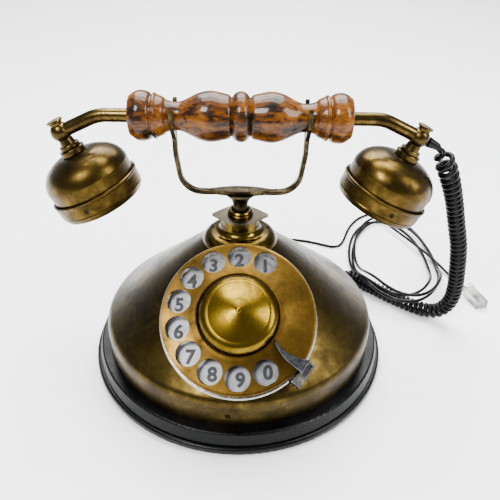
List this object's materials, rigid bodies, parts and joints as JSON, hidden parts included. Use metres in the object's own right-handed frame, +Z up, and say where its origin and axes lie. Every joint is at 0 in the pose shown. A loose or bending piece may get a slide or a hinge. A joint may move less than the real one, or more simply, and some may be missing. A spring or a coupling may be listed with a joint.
{
  "type": "rotary telephone",
  "caption": "Rotary desk telephone with a brass cone body on a black base, a dial, and a turned-wood handset with bell ends resting in a sprung cradle.",
  "frame": {"origin": "centre of the round underside, on the surface it stands on", "axes": "+Z up, -Y towards the user (the dial's side), +X to the right along the handset"},
  "size_m": [0.3085, 0.2944, 0.1756],
  "materials": {
    "base_black": "satin moulded",
    "pad_felt": "felt",
    "plate_steel": "plated",
    "shell_brass": "aged, lacquered",
    "trim_brass": "aged, lacquered",
    "wheel_brass": "satin, light",
    "dome_brass": "spun",
    "cradle_bronze": "dark cast",
    "handset_brass": "aged, lacquered",
    "screw_dark": "blackened",
    "handle_wood": "turned and varnished",
    "nickel": "nickel plated",
    "plate_silver": "spun, printed",
    "gear_brass": "machined",
    "bakelite": "moulded",
    "board_green": "laminate",
    "cord_black": "soft vinyl",
    "plug_clear": "clear moulded"
  },
  "bodies": {
    "root": {"base_ring": "base_black", "base_pad": "pad_felt", "bottom_plate": "plate_steel", "bottom_screws": "plate_steel", "body_shell": "shell_brass", "body_screws": "screw_dark", "collar": "trim_brass", "hook_plate": "trim_brass", "neck_ring": "trim_brass", "dial_rim": "nickel", "dial_cup": "shell_brass", "number_plate": "plate_silver", "dial_frame": "plate_steel", "finger_stop": "nickel", "stop_bracket": "nickel", "back_bridge": "plate_steel", "switch_post": "plate_steel", "hook_contacts": "bakelite", "ringer_yoke": "plate_steel", "ringer_coils": "bakelite", "gongs": "gear_brass", "chassis_posts": "plate_steel", "circuit_board": "board_green", "board_parts": "bakelite", "curly_grommet": "cord_black", "line_grommet": "cord_black", "handset_cord_lower": "cord_black", "handset_cord_tail": "cord_black", "line_cord": "cord_black", "line_loops": "cord_black", "line_plug": "plug_clear", "plug_latch": "plug_clear", "rod_spring": "plate_steel"},
    "dial": {"finger_wheel": "wheel_brass", "hub_plate": "trim_brass", "hub_dome": "dome_brass", "main_gear_and_shaft": "gear_brass"},
    "pinion": {"pulse_pinion": "gear_brass"},
    "governor": {"governor": "gear_brass"},
    "cradle": {"cradle": "cradle_bronze", "cradle_rod": "cradle_bronze", "rod_clip": "plate_steel"},
    "handset": {"handle": "handle_wood", "handle_rod": "plate_steel", "mouth_grommet": "cord_black", "handset_cord_upper": "cord_black", "cap_screws": "screw_dark", "ear_arm": "handset_brass", "ear_ball": "handset_brass", "ear_nut": "handset_brass", "ear_bell": "handset_brass", "ear_cap": "handset_brass", "ear_capsule": "bakelite", "mouth_arm": "handset_brass", "mouth_ball": "handset_brass", "mouth_nut": "handset_brass", "mouth_bell": "handset_brass", "mouth_cap": "handset_brass", "mouth_capsule": "bakelite"},
    "clapper": {"clapper": "plate_steel"}
  },
  "joints": [
    {"name": "dial_turn", "type": "hinge", "parent": "root", "child": "dial", "pos_m": [0, -0.0598, 0.0708], "axis": [0, 0.5878, -0.809], "range_deg": [0, 318], "stiffness_Nm_per_rad": 0.012, "springref_deg": -85.94},
    {"name": "pinion_spin", "type": "hinge", "parent": "root", "child": "pinion", "pos_m": [-0.02819, -0.0587, 0.05183], "axis": [0, 0.5878, -0.809], "range_deg": [-1272, 0]},
    {"name": "governor_spin", "type": "hinge", "parent": "root", "child": "governor", "pos_m": [-0.02332, -0.06318, 0.04363], "axis": [0, 0.5878, -0.809], "range_deg": [0, 4241]},
    {"name": "hook_travel", "type": "slide", "parent": "root", "child": "cradle", "axis": [0, 0, 1], "range_m": [0, 0.004], "stiffness_N_per_m": 200, "springref_m": 0.01, "deforming": ["rod_spring"]},
    {"name": "handset_lift", "type": "slide", "parent": "cradle", "child": "handset", "axis": [0, 0, 1], "range_m": [0, 0.08]},
    {"name": "clapper_swing", "type": "hinge", "parent": "root", "child": "clapper", "pos_m": [0, 0.026, 0.03], "axis": [0, 0, 1], "range_deg": [-4.5, 4.5]}
  ],
  "couplings": [
    {"joint": "pinion_spin", "follows": "dial_turn", "ratio": -4},
    {"joint": "governor_spin", "follows": "dial_turn", "ratio": 13.333}
  ]
}
